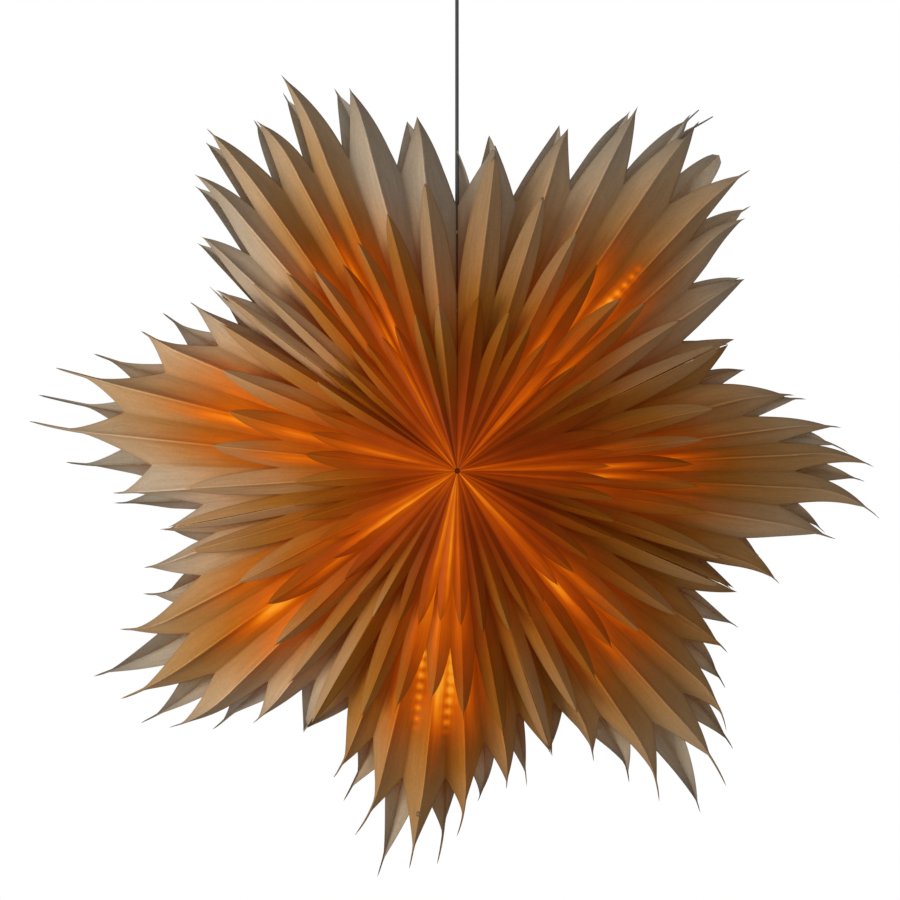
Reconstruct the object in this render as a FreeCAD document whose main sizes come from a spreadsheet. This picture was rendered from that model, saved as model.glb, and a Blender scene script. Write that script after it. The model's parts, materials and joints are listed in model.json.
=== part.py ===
"""A folded paper star that hangs on its cord, lit from inside by light boards.

Millimetres. Z is up, X runs to the right and -Y is the star's front. The origin is the middle of
the ceiling plate's upper face. The star's middle is on the Z axis, one drop below the ceiling.
An angle round the star is counted from +X towards +Z.
"""

import FreeCAD
import Part
import Sketcher
import math
import os

Vector = FreeCAD.Vector
os.makedirs("parts", exist_ok=True)
doc = FreeCAD.newDocument("star_pendant")
sheet = doc.addObject("Spreadsheet::Sheet", "Sizes")

# The star as a whole
drop = 560
arm_length = 392
arm_count = 7
arm_pitch = 48.4
first_arm = 119
closing_angle = 1.6
paper = 0.4
glue_gap = 0.4
pole_depth = 90.4
pole_hole = 2.5
fan_gap = 0.15
tip_gap = 3
notch_gap = 6
edge_bulge = 0.009
most_bulge = 0.035
side_angle = 24.1
side_reach = round(0.727 * arm_length, 1)
notch_share = 0.8
left_close = 28.85
right_close = 40.45
close_reach = round(0.638 * arm_length, 1)
back_notch = 37.3
back_notch_reach = round(0.668 * arm_length, 1)
back_close_reach = round(0.776 * arm_length, 1)
middle_lift = 0.05
middle_tip = round(0.548 * arm_length, 1)
middle_rise = 2.4
middle_notch = round(0.416 * arm_length, 1)
short_lift = 0.11
short_tip = round(0.357 * arm_length, 1)
short_rise = 0.65
short_notch = round(0.263 * arm_length, 1)

# Boards between the arms, and the two that close the star
board_thickness = 0.6
board_start = 40
board_end = round(0.6888 * arm_length, 1)
board_lean = 0.006
board_room = 0.65
closing_start = 96
closing_end = round(0.6122 * arm_length, 1)
closing_lean = 0.002
snap_near = round(0.3827 * arm_length, 1)
snap_far = round(0.574 * arm_length, 1)
snap_near_side = 22
snap_far_side = 10
snap_pin = 1.8
snap_hole = 2.3
snap_head = 4
snap_head_thickness = 1
snap_room = 0.3

# Light boards and their lights
light_thickness = 2
tongue_width = 8
tongue_start = 26
bridge_start = 62
bridge_width = 6
leg_middle = 14
leg_width = 5
leg_end = round(0.6276 * arm_length, 1)
chip_size = 3
chip_height = 1.1
chip_seat = 0.05
chip_pitch = 9.5
chip_start = 80

# Hub, spindle and the bosses under the two poles
hub_radius = 32
hub_wall = 3
hub_half = 20
hub_split = 1.2
core_radius = 7
spindle_radius = 3
spindle_room = 0.1
spindle_half = pole_depth - 5
boss_radius = 16
boss_slope = 0.4
boss_room = 0.4
boss_back = pole_depth - 11.4
post_radius = 3
post_place = 20.5
hub_screw_radius = 1.25
hub_screw_room = 0.15
hub_screw_head = 2.6
hub_screw_head_height = 1.8
driver_inner = 7.2
driver_outer = 16.5
driver_thickness = 1.6
driver_place = 8

# Cord, its stop and its gland
cord_radius = 1.75
cord_room = 0.1
cord_low = 18
stop_radius = 4.4
stop_low = 18.5
stop_high = 23.7
gland_low = 24
gland_radius = 5
gland_room = 0.1
gland_flange = 8
gland_flange_low = 32.3
gland_high = 38

# Ceiling end
plate_radius = 40
plate_thickness = 3
skirt_depth = 9
skirt_wall = 2
fixing_spacing = 56
fixing_hole = 2.6
hook_wire = 2
hook_bow = 8
hook_middle = 28
nut_radius = 6
nut_height = 5
ring_radius = 9
ring_wire = 1.5
eye_radius = 6
eye_wire = 1.5
link_room = 0.3
clamp_radius = 6
clamp_height = 16
clamp_screw_radius = 1.4
cup_room = 0.4
cup_wall = 1.5
cup_top = 0.6
cup_depth = 84
cup_neck = 16
cup_opening = 12
cup_screw_radius = 1.5
cup_screw_head = 3

# Where the long leaves of each arm end, from the lowest angle up: the angle off the arm's middle,
# and the reach in hundredths of the arm's length. The back leaves show between the front ones. The
# notches, and the middle and the short leaves on the same folds, are worked out from these.
front_tips = {
    1: ((-22.8, 85.7), (-13.8, 96.4), (-6, 102.0), (-0.6, 96.7), (6.2, 102.6), (11.4, 95.4), (18.4, 84.2)),
    2: ((-19.4, 77.6), (-10.4, 84.4), (-1.4, 101.0), (6.8, 102.6), (16.6, 81.6)),
    3: ((-18.4, 77.6), (-8.4, 89.3), (-0.2, 99.5), (8.6, 91.3), (16.2, 79.6)),
    4: ((-15.3, 79.1), (-8, 89.8), (-0.2, 98.5), (7.4, 87.2), (15.6, 78.1)),
    5: ((-16, 79.3), (-8.6, 92.3), (-0.8, 100.3), (6.4, 91.3), (14.4, 77.6)),
    6: ((-18.8, 81.6), (-10.4, 93.4), (-4, 102.0), (1.6, 101.5), (6.4, 92.9), (13, 82.4)),
    7: ((-15.4, 82.9), (-7.4, 93.9), (-2.4, 102.0), (6.4, 103.0), (14.2, 96.4), (22.8, 85.7), (33.7, 79.3)),
}
back_tips = {
    1: ((-21.5, 85.2), (-12.6, 96.7), (-4.8, 101.5), (0.6, 95.7), (7.4, 102.0), (12.6, 93.9), (19.4, 83.4)),
    2: ((-14.8, 78.6), (-5, 92.3), (3, 102.0), (11.6, 92.9), (19, 82.1)),
    3: ((-12.9, 81.4), (-4.6, 100.0), (4, 96.9), (11.8, 86.7)),
    4: ((-11.8, 82.9), (-4.4, 99.0), (3.6, 94.9), (11.2, 82.1), (18.8, 76.5)),
    5: ((-12.4, 84.2), (-4.6, 99.5), (3.4, 94.9), (10.6, 83.2), (18.8, 76.3)),
    6: ((-15, 77.8), (-8, 90.8), (-1, 101.0), (5, 94.4), (12, 84.2), (19.2, 74.0)),
    7: ((-14.1, 82.4), (-6.2, 93.4), (1.6, 100.8), (7.8, 102.5), (15.5, 95.9), (24.1, 85.2), (35, 79.1)),
}


def write_sheet():
    """Put every plain number above in the sheet under its own name, and then the leaf tips."""
    numbers = [
        (name, value)
        for name, value in globals().items()
        if isinstance(value, (int, float)) and not name.startswith("_")
    ]
    for face_name, face_tips in (("front", front_tips), ("back", back_tips)):
        for arm, tips in face_tips.items():
            for number, (angle, share) in enumerate(tips):
                spot = (arm, face_name, number)
                numbers.append(("arm_%d_%s_angle_%d" % spot, angle))
                numbers.append(("arm_%d_%s_reach_%d" % spot, round(share * arm_length / 100, 2)))
    for row, (name, value) in enumerate(numbers, 1):
        sheet.set("A%d" % row, name)
        sheet.set("B%d" % row, str(value))
        sheet.setAlias("B%d" % row, name)


write_sheet()
doc.recompute()


def read(name):
    """The number that the sheet holds under a name."""
    return float(sheet.get(name))


def name_part(thing, label):
    """Give a finished sub-part its name."""
    thing.Label = label
    nodes.append(thing)
    return thing


def star_place(angle=0.0):
    """The placement that turns +X to an angle round the star, with its middle a drop down."""
    turn = FreeCAD.Rotation(Vector(0, 1, 0), -angle)
    return FreeCAD.Placement(Vector(0, 0, -read("drop")), turn)


def plane_of(body, role):
    """One of a body's own origin planes."""
    return [plane for plane in body.Origin.OriginFeatures if plane.Role == role][0]


def new_sketch(body, role, name, lift=None):
    """A sketch on one of the body's planes, raised off it by an expression if one is given."""
    sketch = body.newObject("Sketcher::SketchObject", name)
    sketch.AttachmentSupport = [(plane_of(body, role), "")]
    sketch.MapMode = "FlatFace"
    if lift:
        sketch.setExpression(".AttachmentOffset.Base.z", lift)
    return sketch


def polygon(sketch, corners):
    """Draw a closed polygon. Each corner is a pair of expressions of the sheet."""
    count = len(corners)
    first = sketch.GeometryCount
    for number in range(count):
        turn = 2 * math.pi / count
        start = Vector(9 * math.cos(turn * number), 9 * math.sin(turn * number), 0)
        end = Vector(9 * math.cos(turn * (number + 1)), 9 * math.sin(turn * (number + 1)), 0)
        sketch.addGeometry(Part.LineSegment(start, end), False)
    for number in range(count):
        after = first + (number + 1) % count
        sketch.addConstraint(Sketcher.Constraint("Coincident", first + number, 2, after, 1))
    for number, corner in enumerate(corners):
        for direction, rule in zip(("DistanceX", "DistanceY"), corner):
            held = sketch.addConstraint(
                Sketcher.Constraint(direction, -1, 1, first + number, 1, 1.0)
            )
            sketch.setExpression("Constraints[%d]" % held, rule)


def circle(sketch, across, up, radius):
    """Draw a circle whose middle and radius are expressions of the sheet."""
    shape = Part.Circle(Vector(1, 1, 0), Vector(0, 0, 1), 1)
    number = sketch.addGeometry(shape, False)
    for direction, rule in zip(("DistanceX", "DistanceY"), (across, up)):
        held = sketch.addConstraint(Sketcher.Constraint(direction, -1, 1, number, 3, 1.0))
        sketch.setExpression("Constraints[%d]" % held, rule)
    held = sketch.addConstraint(Sketcher.Constraint("Radius", number, 1.0))
    sketch.setExpression("Constraints[%d]" % held, radius)


def revolved(label, corners, about):
    """A body turned from a half profile: about the vertical axis or about the star's own axis."""
    body = doc.addObject("PartDesign::Body", label)
    role = "XZ_Plane" if about == "Z" else "XY_Plane"
    sketch = new_sketch(body, role, label + "_profile")
    polygon(sketch, corners)
    turned = body.newObject("PartDesign::Revolution", label + "_turned")
    turned.Profile = sketch
    turned.ReferenceAxis = (sketch, ["V_Axis"])
    turned.Angle = 360
    sketch.Visibility = False
    return body


def padded(label, corners, height, role, holes=(), middle=True):
    """A flat body cut from sheet: a polygon, with holes in it, given a thickness."""
    body = doc.addObject("PartDesign::Body", label)
    sketch = new_sketch(body, role, label + "_outline")
    polygon(sketch, corners)
    for hole in holes:
        circle(sketch, *hole)
    pad = body.newObject("PartDesign::Pad", label + "_sheet")
    pad.Profile = sketch
    pad.setExpression("Length", height)
    pad.Midplane = middle
    sketch.Visibility = False
    return body


def cylinder(name, radius, height, base, axis=Vector(0, 0, 1)):
    """A plain cylinder whose radius and height are expressions of the sheet."""
    made = doc.addObject("Part::Cylinder", name)
    made.setExpression("Radius", radius)
    made.setExpression("Height", height)
    made.Placement = FreeCAD.Placement(base, FreeCAD.Rotation(Vector(0, 0, 1), axis))
    return made


def cut(name, base, tool):
    """One shape less another."""
    made = doc.addObject("Part::Cut", name)
    made.Base = base
    made.Tool = tool
    return made


def fused(name, shapes):
    """Several shapes joined into one."""
    made = doc.addObject("Part::MultiFuse", name)
    made.Shapes = shapes
    return made


def group(name, shapes):
    """Several separate solids kept under one name."""
    made = doc.addObject("Part::Compound", name)
    made.Links = shapes
    return made


nodes = []


# Folded leaves


def fold_points(angle, slope, reach, pole, side):
    """The inner and the outer end of one fold line."""
    spot = []
    for radius in (read("pole_hole"), reach):
        across = radius * math.cos(math.radians(angle))
        up = radius * math.sin(math.radians(angle))
        spot.append(Vector(across, side * (slope * radius - pole), up))
    return spot


def leaf_edge(start, end, inner, facing, opening):
    """The bulging edge of half a leaf. A leaf that opens through few degrees bulges less."""
    chord = end - start
    out = chord.cross(facing)
    out.normalize()
    middle = (start + end) * 0.5
    if out.dot(middle - inner) < 0:
        out = out * -1
    bulge = min(read("edge_bulge") * opening, read("most_bulge"))
    middle = middle + out * (chord.Length * bulge)
    return Part.Arc(start, middle, end).toShape()


def long_folds(arm, row_name, side):
    """An arm's folds, lowest angle first: angle, reach of the long leaves, and if it is a ridge."""
    face_name, face_tips = ("front", front_tips) if side > 0 else ("back", back_tips)
    ridges = []
    for number in range(len(face_tips[arm])):
        spot = (arm, face_name, number)
        reach = read("arm_%d_%s_reach_%d" % spot)
        ridges.append((read("arm_%d_%s_angle_%d" % spot), reach, True))
    if arm > 1:
        ridges.insert(0, (-read("side_angle"), read("side_reach"), True))
    if arm < int(read("arm_count")):
        ridges.append((read("side_angle"), read("side_reach"), True))
    folds = [ridges[0]]
    for before, after in zip(ridges, ridges[1:]):
        reach = read("notch_share") * (before[1] + after[1]) / 2
        folds += [((before[0] + after[0]) / 2, reach, False), after]
    if arm == 1:
        folds.insert(0, (-read("left_close"), read("close_reach"), False))
    if arm == int(read("arm_count")):
        if row_name == "long" and side < 0:
            folds.append((read("back_notch"), read("back_notch_reach"), False))
            folds.append((read("right_close"), read("back_close_reach"), True))
        else:
            folds.append((read("right_close"), read("close_reach"), False))
    return folds


def fold_list(arm, row_name, side):
    """The folds of one row of an arm's leaves: angle, slope and reach of each."""
    folds = []
    for angle, full, ridge in long_folds(arm, row_name, side):
        room = read("tip_gap") if ridge else read("notch_gap")
        slope = (read("pole_depth") - room) / full
        reach = full
        if row_name != "long":
            slope -= read(row_name + "_lift")
            reach = read(row_name + "_notch")
            if ridge:
                reach = read(row_name + "_tip") + read(row_name + "_rise") * abs(angle)
        folds.append((angle, slope, reach))
    return folds


def leaf_sheet(arm, row_name, side):
    """One row of an arm's leaves: a pleated sheet whose folds all run to the star's pole."""
    above = {"long": 0, "middle": 1, "short": 2}[row_name]
    pole = read("pole_depth") + above * (read("paper") + read("glue_gap"))
    through = Vector(0, side * read("paper"), 0)
    folds = fold_list(arm, row_name, side)
    lines = [fold_points(*fold, pole, side) for fold in folds]
    openings = [after[0] - before[0] for before, after in zip(folds, folds[1:])]
    faces = []
    for one, two, opening in zip(lines, lines[1:], openings):
        facing = (one[1] - one[0]).cross(two[1] - two[0])
        facing.normalize()
        rim = leaf_edge(one[1], two[1], one[0], facing, opening)
        inner = Part.makeLine(two[0], one[0])
        sides = [Part.makeLine(one[0], one[1]), rim, Part.makeLine(two[1], two[0]), inner]
        face = Part.Face(Part.Wire(sides))
        faces += [face, face.translated(through), rim.extrude(through), inner.extrude(through)]
    for line in (lines[0], lines[-1]):
        faces.append(Part.makeLine(line[0], line[1]).extrude(through))
    shell = Part.makeShell(faces)
    shell.sewShape()
    solid = Part.makeSolid(shell)
    if solid.Volume < 0:
        solid.reverse()
    return solid


def leaf_part(arm, label, rows):
    """Some of an arm's leaf rows as one sub-part."""
    made = doc.addObject("Part::Feature", label)
    sheets = [leaf_sheet(arm, row_name, side) for row_name, side in rows]
    made.Shape = sheets[0] if len(sheets) == 1 else Part.makeCompound(sheets)
    made.Placement = star_place(read("first_arm") + (arm - 1) * read("arm_pitch"))
    name_part(made, label)


for arm in range(1, int(read("arm_count")) + 1):
    leaf_part(arm, "arm_%d_front_leaves" % arm, [("long", 1)])
    leaf_part(arm, "arm_%d_back_leaves" % arm, [("long", -1)])
    inner_rows = [("middle", 1), ("short", 1), ("middle", -1), ("short", -1)]
    leaf_part(arm, "arm_%d_inner_leaves" % arm, inner_rows)


# Boards between the arms


def board(label, angle, start, end, slope, holes=()):
    """A stiff board that stands on edge under a line of ridges, from front to back."""
    near = "Sizes.pole_depth - Sizes.paper - Sizes.board_room - %s * %s" % (slope, start)
    far = "Sizes.pole_depth - Sizes.paper - Sizes.board_room - %s * %s" % (slope, end)
    corners = [
        (start, "-(%s)" % near),
        (end, "-(%s)" % far),
        (end, far),
        (start, near),
    ]
    made = padded(label, corners, "Sizes.board_thickness", "XY_Plane", holes)
    made.Placement = star_place(angle)
    name_part(made, label)


def closing_slope(last_tip, close):
    """The slope of the paper over a closing board, between the last valley and the tip before it."""
    low = "((Sizes.pole_depth - Sizes.notch_gap) / Sizes.close_reach)"
    high = "((Sizes.pole_depth - Sizes.tip_gap) / Sizes.%s)" % last_tip.replace("angle", "reach")
    opening = "(Sizes.%s - abs(Sizes.%s))" % (close, last_tip)
    share = "(Sizes.closing_angle - Sizes.fan_gap) / %s" % opening
    return "(%s - (%s - %s) * %s + Sizes.closing_lean)" % (low, low, high, share)


for number in range(1, int(read("arm_count"))):
    between = read("first_arm") + (number - 0.5) * read("arm_pitch")
    slope = "((Sizes.pole_depth - Sizes.tip_gap) / Sizes.side_reach + Sizes.board_lean)"
    board("arm_board_%d" % number, between, "Sizes.board_start", "Sizes.board_end", slope)

snap_spots = [
    ("Sizes.snap_near", "Sizes.snap_near_side"),
    ("Sizes.snap_near", "-Sizes.snap_near_side"),
    ("Sizes.snap_far", "Sizes.snap_far_side"),
    ("Sizes.snap_far", "-Sizes.snap_far_side"),
]
snap_holes = [(reach, side, "Sizes.snap_hole") for reach, side in snap_spots]
last_tips = {"left": "arm_1_front_angle_0", "right": "arm_7_front_angle_6"}
for word, sign in (("left", 1), ("right", -1)):
    board(
        "closing_board_" + word,
        90 + sign * read("closing_angle"),
        "Sizes.closing_start",
        "Sizes.closing_end",
        closing_slope(last_tips[word], word + "_close"),
        snap_holes,
    )


def snap(number, reach, side):
    """A two-headed snap that holds the closing boards together, on a pin through both."""
    tilt = math.radians(read("closing_angle"))
    half = reach * math.sin(tilt) + read("board_thickness") / 2 + read("snap_room")
    head = read("snap_head_thickness")
    up = reach * math.cos(tilt) - read("drop")
    sideways = Vector(1, 0, 0)
    pin = cylinder("snap_pin_%d" % number, "Sizes.snap_pin", "1", Vector(-half, side, up), sideways)
    pin.setExpression("Height", None)
    pin.Height = 2 * half
    heads = []
    for name, place in (("left", -half - head), ("right", half)):
        heads.append(
            cylinder(
                "snap_head_%s_%d" % (name, number),
                "Sizes.snap_head",
                "Sizes.snap_head_thickness",
                Vector(place, side, up),
                sideways,
            )
        )
    return fused("snap_%d" % number, [pin] + heads)


snaps = []
for reach_name, side_name in (("snap_near", "snap_near_side"), ("snap_far", "snap_far_side")):
    for sign in (1, -1):
        snaps.append(snap(len(snaps) + 1, read(reach_name), sign * read(side_name)))
name_part(group("closing_snaps", snaps), "closing_snaps")


# Light boards


def light_board(arm):
    """A fork-shaped circuit board that carries the lights of one arm."""
    label = "arm_%d_light_board" % arm
    outer = "(Sizes.leg_middle + Sizes.leg_width / 2)"
    inner = "(Sizes.leg_middle - Sizes.leg_width / 2)"
    tongue = "(Sizes.tongue_width / 2)"
    inside = "Sizes.bridge_start + Sizes.bridge_width"
    half = [
        ("Sizes.tongue_start", tongue),
        ("Sizes.bridge_start", tongue),
        ("Sizes.bridge_start", outer),
        ("Sizes.leg_end", outer),
        ("Sizes.leg_end", inner),
        (inside, inner),
    ]
    corners = half + [(across, "-" + up) for across, up in reversed(half)]
    made = padded(label, corners, "Sizes.light_thickness", "XZ_Plane")
    made.Placement = star_place(read("first_arm") + (arm - 1) * read("arm_pitch"))
    name_part(made, label)


def chips():
    """All the light chips, in a row down both legs and both faces of every light board."""
    solids = []
    length = read("chip_size")
    height = read("chip_height")
    count = int((read("leg_end") - length - read("chip_start")) / read("chip_pitch")) + 1
    face = read("light_thickness") / 2 + read("chip_seat")
    for arm in range(int(read("arm_count"))):
        place = star_place(read("first_arm") + arm * read("arm_pitch"))
        for number in range(count):
            reach = read("chip_start") + number * read("chip_pitch")
            for leg in (-1, 1):
                up = leg * read("leg_middle") - length / 2
                for front in (-face - height, face):
                    solid = Part.makeBox(length, height, length, Vector(reach, front, up))
                    solid.Placement = place.multiply(solid.Placement)
                    solids.append(solid)
    return Part.makeCompound(solids)


for arm in range(1, int(read("arm_count")) + 1):
    light_board(arm)
chip_group = doc.addObject("Part::Feature", "light_chips")
chip_group.Shape = chips()
name_part(chip_group, "light_chips")


# Hub, spindle and bosses

post_angles = [read("first_arm") + (number + 0.5) * read("arm_pitch") for number in (0, 2, 4)]


def hub_half(label, side):
    """Half of the hub: a shallow turned box with a core for the spindle and three screw posts."""
    sign = "" if side > 0 else "-"
    floor = "Sizes.hub_half - Sizes.hub_wall"
    bore = "Sizes.spindle_radius + Sizes.spindle_room"
    corners = [
        (bore, sign + "(Sizes.hub_half)"),
        ("Sizes.hub_radius", sign + "(Sizes.hub_half)"),
        ("Sizes.hub_radius", sign + "(Sizes.hub_split)"),
        ("Sizes.hub_radius - Sizes.hub_wall", sign + "(Sizes.hub_split)"),
        ("Sizes.hub_radius - Sizes.hub_wall", sign + "(%s)" % floor),
        ("Sizes.core_radius", sign + "(%s)" % floor),
        ("Sizes.core_radius", sign + "(Sizes.hub_split)"),
        (bore, sign + "(Sizes.hub_split)"),
    ]
    shell = revolved(label + "_shell", corners, "Y")
    shell.Placement = star_place()
    posts = []
    holes = []
    outward = Vector(0, side, 0)
    for number, angle in enumerate(post_angles):
        spot = star_place().multVec(
            Vector(
                read("post_place") * math.cos(math.radians(angle)),
                side * read("hub_split"),
                read("post_place") * math.sin(math.radians(angle)),
            )
        )
        height = "Sizes.hub_half - Sizes.hub_split - 1"
        posts.append(
            cylinder("%s_post_%d" % (label, number), "Sizes.post_radius", height, spot, outward)
        )
        long_height = "Sizes.hub_half - Sizes.hub_split + 1"
        room = "Sizes.hub_screw_radius + Sizes.hub_screw_room"
        holes.append(
            cylinder("%s_bore_%d" % (label, number), room, long_height, spot, outward)
        )
    low = Vector(0, 0, read("gland_low") - read("drop"))
    port = cylinder(label + "_port", "Sizes.gland_radius + Sizes.gland_room", "20", low)
    solid = fused(label + "_solid", [shell] + posts)
    tools = fused(label + "_tools", holes + [port])
    name_part(cut(label, solid, tools), label)


hub_half("hub_front", -1)
hub_half("hub_back", 1)

screws = []
for number, angle in enumerate(post_angles):
    spot = star_place().multVec(
        Vector(
            read("post_place") * math.cos(math.radians(angle)),
            -read("hub_half") - read("snap_room"),
            read("post_place") * math.sin(math.radians(angle)),
        )
    )
    head_spot = spot - Vector(0, read("hub_screw_head_height"), 0)
    backward = Vector(0, 1, 0)
    shank = cylinder(
        "hub_shank_%d" % number, "Sizes.hub_screw_radius", "2 * Sizes.hub_half", spot, backward
    )
    head = cylinder(
        "hub_head_%d" % number,
        "Sizes.hub_screw_head",
        "Sizes.hub_screw_head_height",
        head_spot,
        backward,
    )
    screws.append(fused("hub_screw_%d" % number, [shank, head]))
name_part(group("hub_screws", screws), "hub_screws")

driver_corners = [
    ("Sizes.driver_inner", "-Sizes.driver_place"),
    ("Sizes.driver_outer", "-Sizes.driver_place"),
    ("Sizes.driver_outer", "-Sizes.driver_place - Sizes.driver_thickness"),
    ("Sizes.driver_inner", "-Sizes.driver_place - Sizes.driver_thickness"),
]
driver = revolved("driver_board", driver_corners, "Y")
driver.Placement = star_place()
name_part(driver, "driver_board")

spindle_low = Vector(0, -read("spindle_half"), -read("drop"))
spindle = cylinder(
    "spindle", "Sizes.spindle_radius", "2 * Sizes.spindle_half", spindle_low, Vector(0, 1, 0)
)
name_part(spindle, "spindle")

for label, sign in (("pole_boss_front", "-"), ("pole_boss_back", "")):
    peak = "(Sizes.pole_depth - Sizes.paper - Sizes.boss_room)"
    bore = "Sizes.spindle_radius + Sizes.spindle_room"
    pocket = "(Sizes.spindle_half + Sizes.spindle_room)"
    corners = [
        ("0", sign + peak),
        ("Sizes.boss_radius", sign + "(%s - Sizes.boss_slope * Sizes.boss_radius)" % peak),
        ("Sizes.boss_radius", sign + "Sizes.boss_back"),
        (bore, sign + "Sizes.boss_back"),
        (bore, sign + pocket),
        ("0", sign + pocket),
    ]
    boss = revolved(label, corners, "Y")
    boss.Placement = star_place()
    name_part(boss, label)


# Cord, its stop under the gland, and the gland in the hub


def at_height(name):
    """A height over the star's middle, as an expression in the ceiling's frame."""
    return "Sizes.%s - Sizes.drop" % name


cord_bore = "Sizes.cord_radius + Sizes.cord_room"
gland_corners = [
    (cord_bore, at_height("gland_low")),
    ("Sizes.gland_radius", at_height("gland_low")),
    ("Sizes.gland_radius", at_height("gland_flange_low")),
    ("Sizes.gland_flange", at_height("gland_flange_low")),
    ("Sizes.gland_flange", at_height("gland_flange_low") + " + 2.5"),
    ("Sizes.gland_radius", at_height("gland_high")),
    (cord_bore, at_height("gland_high")),
]
name_part(revolved("cord_gland", gland_corners, "Z"), "cord_gland")

stop_corners = [
    (cord_bore, at_height("stop_low")),
    ("Sizes.stop_radius", at_height("stop_low")),
    ("Sizes.stop_radius", at_height("stop_high")),
    (cord_bore, at_height("stop_high")),
]
name_part(revolved("cord_stop", stop_corners, "Z"), "cord_stop")

# Heights of the hook's bow, the ring and the eye, each hung in the one above
bow_low = -(read("hook_middle") + read("hook_bow"))
ring_middle = bow_low + read("hook_wire") + read("link_room") + read("ring_wire") - read("ring_radius")
ring_low = ring_middle - read("ring_radius")
eye_high = ring_low + read("ring_wire") + read("link_room") + read("eye_wire")
eye_middle = eye_high - read("eye_radius")
clamp_high = eye_middle - read("eye_radius") + 0.5
clamp_low = clamp_high - read("clamp_height")
cord_high = clamp_low + 10

cord = cylinder(
    "cord", "Sizes.cord_radius", "1", Vector(0, 0, read("cord_low") - read("drop"))
)
cord.setExpression("Height", "%f + Sizes.drop - Sizes.cord_low" % cord_high)
name_part(cord, "cord")


def torus(name, radius, wire, middle, axis):
    """A ring of round wire."""
    made = doc.addObject("Part::Torus", name)
    made.setExpression("Radius1", radius)
    made.setExpression("Radius2", wire)
    turn = FreeCAD.Rotation(Vector(0, 0, 1), axis)
    made.Placement = FreeCAD.Placement(Vector(0, 0, middle), turn)
    return made


def clamp():
    """The cord clamp: a round block with an eye on top, bored for the cord from below."""
    block = cylinder(
        "clamp_block", "Sizes.clamp_radius", "Sizes.clamp_height", Vector(0, 0, clamp_low)
    )
    eye = torus("clamp_eye", "Sizes.eye_radius", "Sizes.eye_wire", eye_middle, Vector(0, 1, 0))
    solid = fused("clamp_solid", [block, eye])
    bore = cylinder("clamp_bore", cord_bore, "10.3", Vector(0, 0, clamp_low))
    tools = [bore]
    screws = []
    for number, height in enumerate((4, 8)):
        spot = Vector(0, -read("cord_radius") - 0.4, clamp_low + height)
        front = Vector(0, -1, 0)
        tools.append(
            cylinder(
                "clamp_thread_%d" % number,
                "Sizes.clamp_screw_radius + Sizes.cord_room",
                "Sizes.clamp_radius",
                spot,
                front,
            )
        )
        screws.append(
            cylinder(
                "clamp_screw_%d" % number,
                "Sizes.clamp_screw_radius",
                "Sizes.clamp_radius - Sizes.cord_radius",
                spot,
                front,
            )
        )
    name_part(cut("cord_clamp", solid, fused("clamp_tools", tools)), "cord_clamp")
    name_part(group("clamp_screws", screws), "clamp_screws")


clamp()
ring = torus(
    "hanging_ring", "Sizes.ring_radius", "Sizes.ring_wire", ring_middle, Vector(1, 0, 0)
)
name_part(ring, "hanging_ring")


def hook():
    """The ceiling hook: a threaded shank and an open bow of round wire."""
    top = -read("plate_thickness")
    bow_top = -read("hook_middle") + read("hook_bow")
    shank = cylinder(
        "hook_shank", "Sizes.hook_wire", "1", Vector(0, 0, bow_top)
    )
    shank.setExpression(
        "Height", "Sizes.hook_middle - Sizes.hook_bow - Sizes.plate_thickness + 1.5"
    )
    middle = -read("hook_middle")
    bow = torus("hook_bow", "Sizes.hook_bow", "Sizes.hook_wire", middle, Vector(0, 1, 0))
    bow.Angle3 = 300
    bow.Placement = FreeCAD.Placement(
        Vector(0, 0, middle),
        FreeCAD.Rotation(Vector(0, 1, 0), -90) * FreeCAD.Rotation(Vector(1, 0, 0), 90),
    )
    name_part(fused("ceiling_hook", [shank, bow]), "ceiling_hook")
    nut_corners = []
    for number in range(6):
        turn = math.radians(60 * number)
        nut_corners.append(
            (
                "Sizes.nut_radius * %.6f" % math.cos(turn),
                "Sizes.nut_radius * %.6f" % math.sin(turn),
            )
        )
    hole = ("0", "0", "Sizes.hook_wire + Sizes.cord_room")
    nut = padded("hook_nut", nut_corners, "Sizes.nut_height", "XY_Plane", [hole], middle=False)
    nut.Placement = FreeCAD.Placement(
        Vector(0, 0, top - read("nut_height") - read("link_room")), FreeCAD.Rotation()
    )
    name_part(nut, "hook_nut")


hook()


def plate():
    """The ceiling plate: a pressed disc with a skirt, two fixing holes and a hole for the hook."""
    corners = [
        ("0", "0"),
        ("Sizes.plate_radius", "0"),
        ("Sizes.plate_radius", "-Sizes.skirt_depth"),
        ("Sizes.plate_radius - Sizes.skirt_wall", "-Sizes.skirt_depth"),
        ("Sizes.plate_radius - Sizes.skirt_wall", "-Sizes.plate_thickness"),
        ("0", "-Sizes.plate_thickness"),
    ]
    disc = revolved("ceiling_plate", corners, "Z")
    sketch = new_sketch(disc, "XY_Plane", "plate_holes", "-Sizes.plate_thickness - 1")
    circle(sketch, "Sizes.fixing_spacing / 2", "0", "Sizes.fixing_hole")
    circle(sketch, "-Sizes.fixing_spacing / 2", "0", "Sizes.fixing_hole")
    pocket = disc.newObject("PartDesign::Pocket", "plate_drilled")
    pocket.Profile = sketch
    pocket.Reversed = True
    pocket.setExpression("Length", "Sizes.plate_thickness + 2")
    blind = new_sketch(disc, "XY_Plane", "hook_hole", "-Sizes.plate_thickness - 1")
    circle(blind, "0", "0", "Sizes.hook_wire + Sizes.cord_room")
    seat = disc.newObject("PartDesign::Pocket", "hook_drilled")
    seat.Profile = blind
    seat.Reversed = True
    seat.setExpression("Length", "1 + 1.6")
    name_part(disc, "ceiling_plate")
    return disc


plate()


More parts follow.
